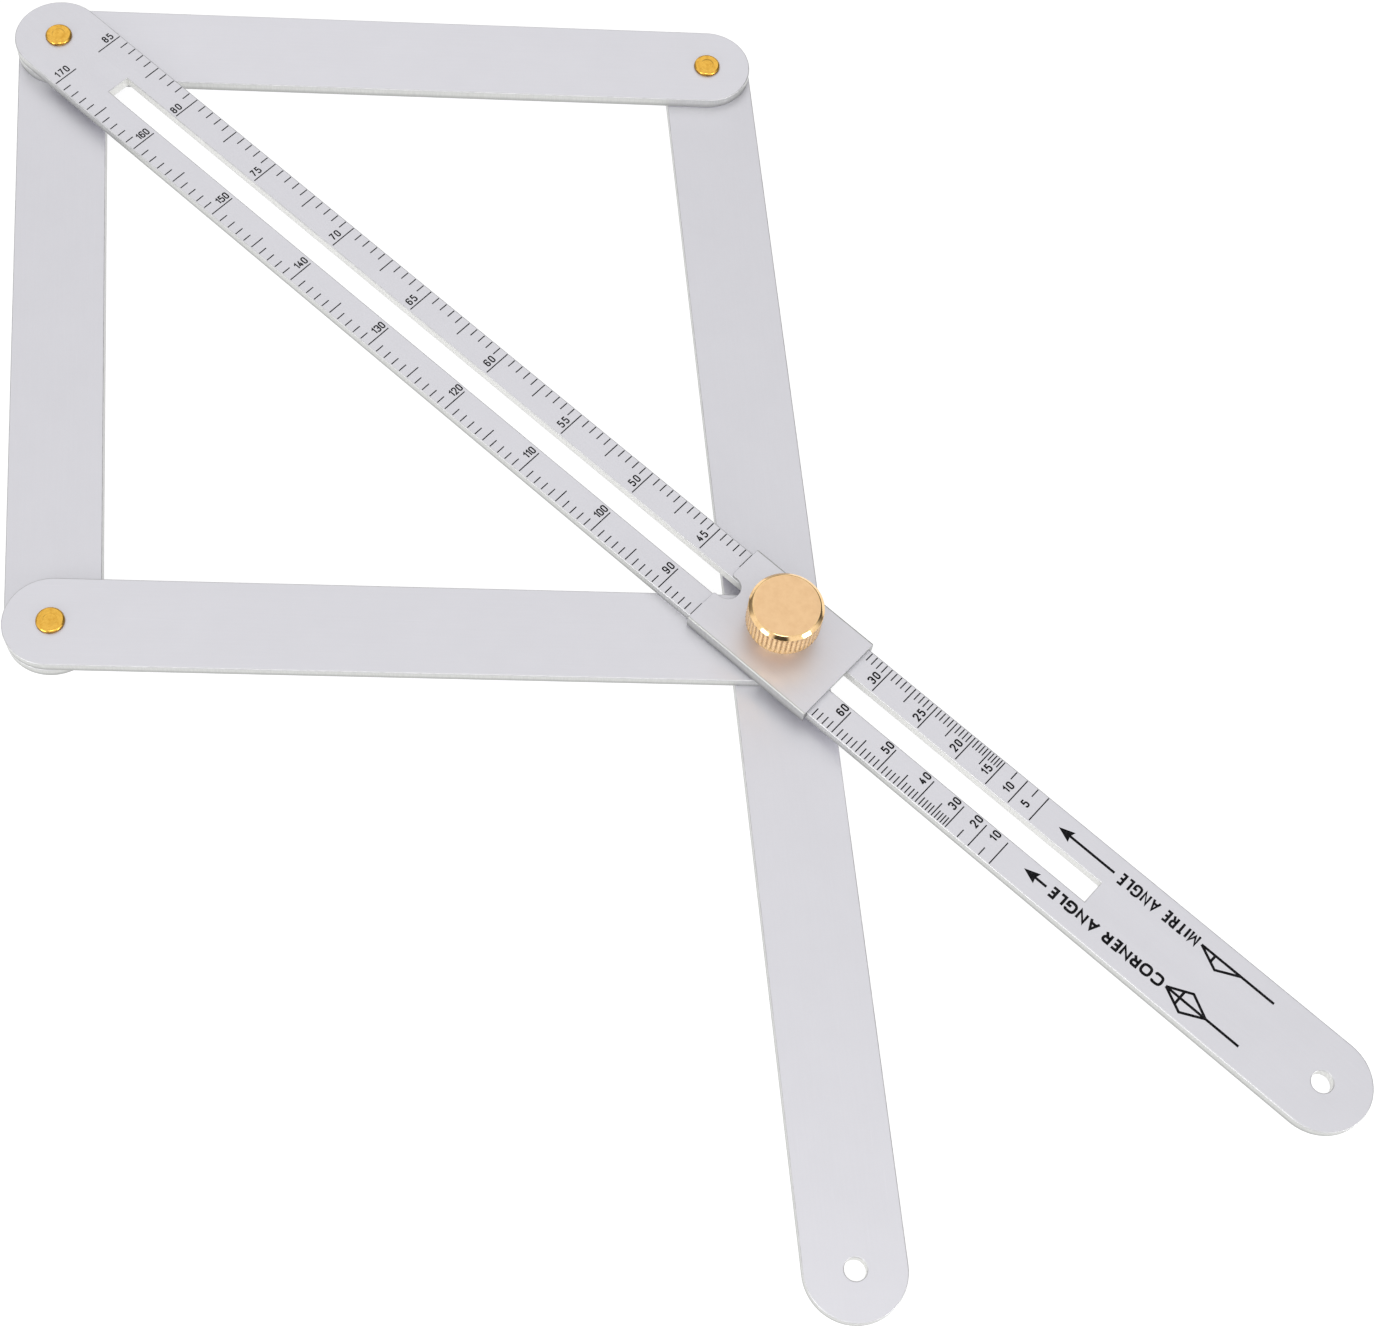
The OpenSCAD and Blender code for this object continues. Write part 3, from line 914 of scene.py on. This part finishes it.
def make_legend(ink):
    """At the tail of each scale: an arrow, two plain words, and a diagram of the linkage."""
    # y, arrow tip, end of its shaft, words, their left end, height and stroke, and whole diagram
    rows = ((6.2, 290.2, 304.4, "MITRE ANGLE", 305.6, 2.8, 0.52, False),
            (-5.6, 290.6, 296.3, "CORNER ANGLE", 297.2, 2.6, 0.58, True))
    text_end, tail_end, line, gap = 325.4 * MM, 343.9 * MM, 0.54 * MM, 0.36 * MM
    head_len, head_half, notch = 3.3 * MM, 1.3 * MM, 0.4 * MM
    left, middle, right, cross, half_h = 326.2 * MM, 331.2 * MM, 335.9 * MM, 329.6 * MM, 2.5 * MM
    bm = bmesh.new()
    for y, tip, shaft_end, words, text_start, height, stroke, whole in rows:
        y, tip, shaft_end, text_start = y * MM, tip * MM, shaft_end * MM, text_start * MM
        height, stroke = height * MM, stroke * MM
        back, foot = tip + head_len, tip + head_len - notch
        add_patch(bm, ((tip, y), (back, y + head_half), (foot, y), (back, y - head_half)))
        add_stroke(bm, ((foot, y), (shaft_end, y)), line, level=1)
        shares, rest = glyph_room(words, stroke, gap)
        width = (text_end - text_start - rest) / shares
        write(bm, words, (text_end, y + height / 2), (-1, 0), width, height, stroke, gap)
        for sign in (-1, 1) if whole else (-1,):
            add_stroke(bm, ((left, y), (middle, y + sign * half_h), (right, y)), line, level=2 + sign)
            reach = half_h * (cross - left) / (middle - left)
            add_stroke(bm, ((cross, y), (cross, y + sign * reach)), line, level=5 + sign)
        add_stroke(bm, ((left, y), (tail_end, y)), line, level=8)
    finish_print("legend", bm, ink)


def make_print():
    """All the print, in one ink: the lines of the CAD scales, the numbers and the legend."""
    ink = printed_ink()
    for node in ("half_angle_scale", "included_angle_scale"):
        lines = frame["nodes"][node]
        lines.data.materials.clear()
        lines.data.materials.append(ink)
    make_numbers(ink)
    make_legend(ink)


# ---------------------------------------------------------------- studio


def make_camera():
    """The viewing angle of a hand-held look down on a bench, across the tool."""
    place = Vector((145.3, -191.7, 427.6)) * MM
    target = Vector((32.1, -35.7, 0)) * MM
    roll = math.radians(7.22)
    camera = bpy.data.objects.new("camera", bpy.data.cameras.new("camera"))
    bpy.context.scene.collection.objects.link(camera)
    bpy.context.scene.camera = camera
    camera.data.sensor_width = 36
    camera.data.lens = 59.48
    camera.data.shift_x, camera.data.shift_y = 0.0435, 0.0508
    camera.data.clip_start, camera.data.clip_end = 0.01, 50
    look = (target - place).to_track_quat("-Z", "Y").to_matrix().to_4x4()
    camera.matrix_world = Matrix.Translation(place) @ look @ Matrix.Rotation(roll, 4, "Z")


def make_floor():
    """Sheet of paper that reaches far beyond the tool."""
    bm = bmesh.new()
    bmesh.ops.create_circle(bm, cap_ends=True, segments=96, radius=40)
    floor = mesh_object("floor", bm, (studio_paper(),))


def direction(azimuth_deg, elevation_deg):
    """Unit vector towards an azimuth and an elevation."""
    a, e = math.radians(azimuth_deg), math.radians(elevation_deg)
    return Vector((math.cos(e) * math.cos(a), math.cos(e) * math.sin(a), math.sin(e)))


def room_shade(tree):
    """Bright even room that falls off to the horizon, with dark spots for the polished bevel."""
    ray = tree.nodes.new("ShaderNodeTexCoord").outputs["Generated"]
    rise = height_of(tree, ray)
    horizon = remap(tree, rise, (0.0, 0.22), (0.5, 1.0))
    zenith = remap(tree, rise, (0.75, 1.0), (1.06, 0.90))
    shade = math_node(tree, "MULTIPLY", horizon, zenith)
    # Azimuth, elevation, cosines of the outer and inner edge of the spot, and its brightness
    for azimuth, elevation, outer, inner, level in ((-56, 24, 0.94, 0.975, 0.08),
                                                    (70, 20, 0.80, 0.93, 0.10),
                                                    (-172, 18, 0.88, 0.95, 0.35),
                                                    (126, 4, 0.80, 0.95, 0.30)):
        spot = tree.nodes.new("ShaderNodeVectorMath")
        spot.operation = "DOT_PRODUCT"
        spot.inputs[1].default_value = direction(azimuth, elevation)
        tree.links.new(ray, spot.inputs[0])
        dark = remap(tree, spot.outputs["Value"], (outer, inner), (1.0, level))
        shade = math_node(tree, "MULTIPLY", shade, dark)
    return shade


def make_room():
    """The room lights the tool and is reflected in it. Behind the tool it is one plain grey."""
    room_light, plain_grey = 0.95, 0.54
    world = bpy.data.worlds.new("studio")
    bpy.context.scene.world = world
    world.use_nodes = True
    tree = world.node_tree
    backdrop = tree.nodes["Background"]
    backdrop.inputs["Color"].default_value = (1.0, 0.998, 1.0, 1)
    lit = math_node(tree, "MULTIPLY", room_shade(tree), room_light)
    seen = tree.nodes.new("ShaderNodeLightPath").outputs["Is Camera Ray"]
    strength = tree.nodes.new("ShaderNodeMix")
    tree.links.new(seen, strength.inputs["Factor"])
    tree.links.new(lit, strength.inputs["A"])
    strength.inputs["B"].default_value = plain_grey
    tree.links.new(strength.outputs["Result"], backdrop.inputs["Strength"])


def soft_box(name, azimuth, elevation, distance, size, watts):
    """Square area lamp that faces the origin."""
    light = bpy.data.lights.new(name, "AREA")
    light.shape, light.size, light.energy = "SQUARE", size, watts
    lamp = bpy.data.objects.new(name, light)
    lamp.location = direction(azimuth, elevation) * distance
    lamp.rotation_euler = lamp.location.to_track_quat("Z", "Y").to_euler()
    bpy.context.scene.collection.objects.link(lamp)


def make_light():
    """Plain bright room and three small soft boxes."""
    make_room()
    soft_box("left_box", -96, 19, 1.6, 0.5, 5.5)
    soft_box("right_box", 5, 19, 1.6, 0.5, 5.5)
    soft_box("front_box", -54, 60, 1.1, 0.4, 2.0)
    bpy.context.scene.view_settings.view_transform = "Standard"
    bpy.context.scene.view_settings.look = "None"


make_camera()
make_floor()
make_light()
make_bars()
make_rivets()
make_stud()
make_slider()
turned_brass = polished_brass("turned_brass", 0.22, 0.34)
make_knob(turned_brass)
make_washer(turned_brass)
make_print()
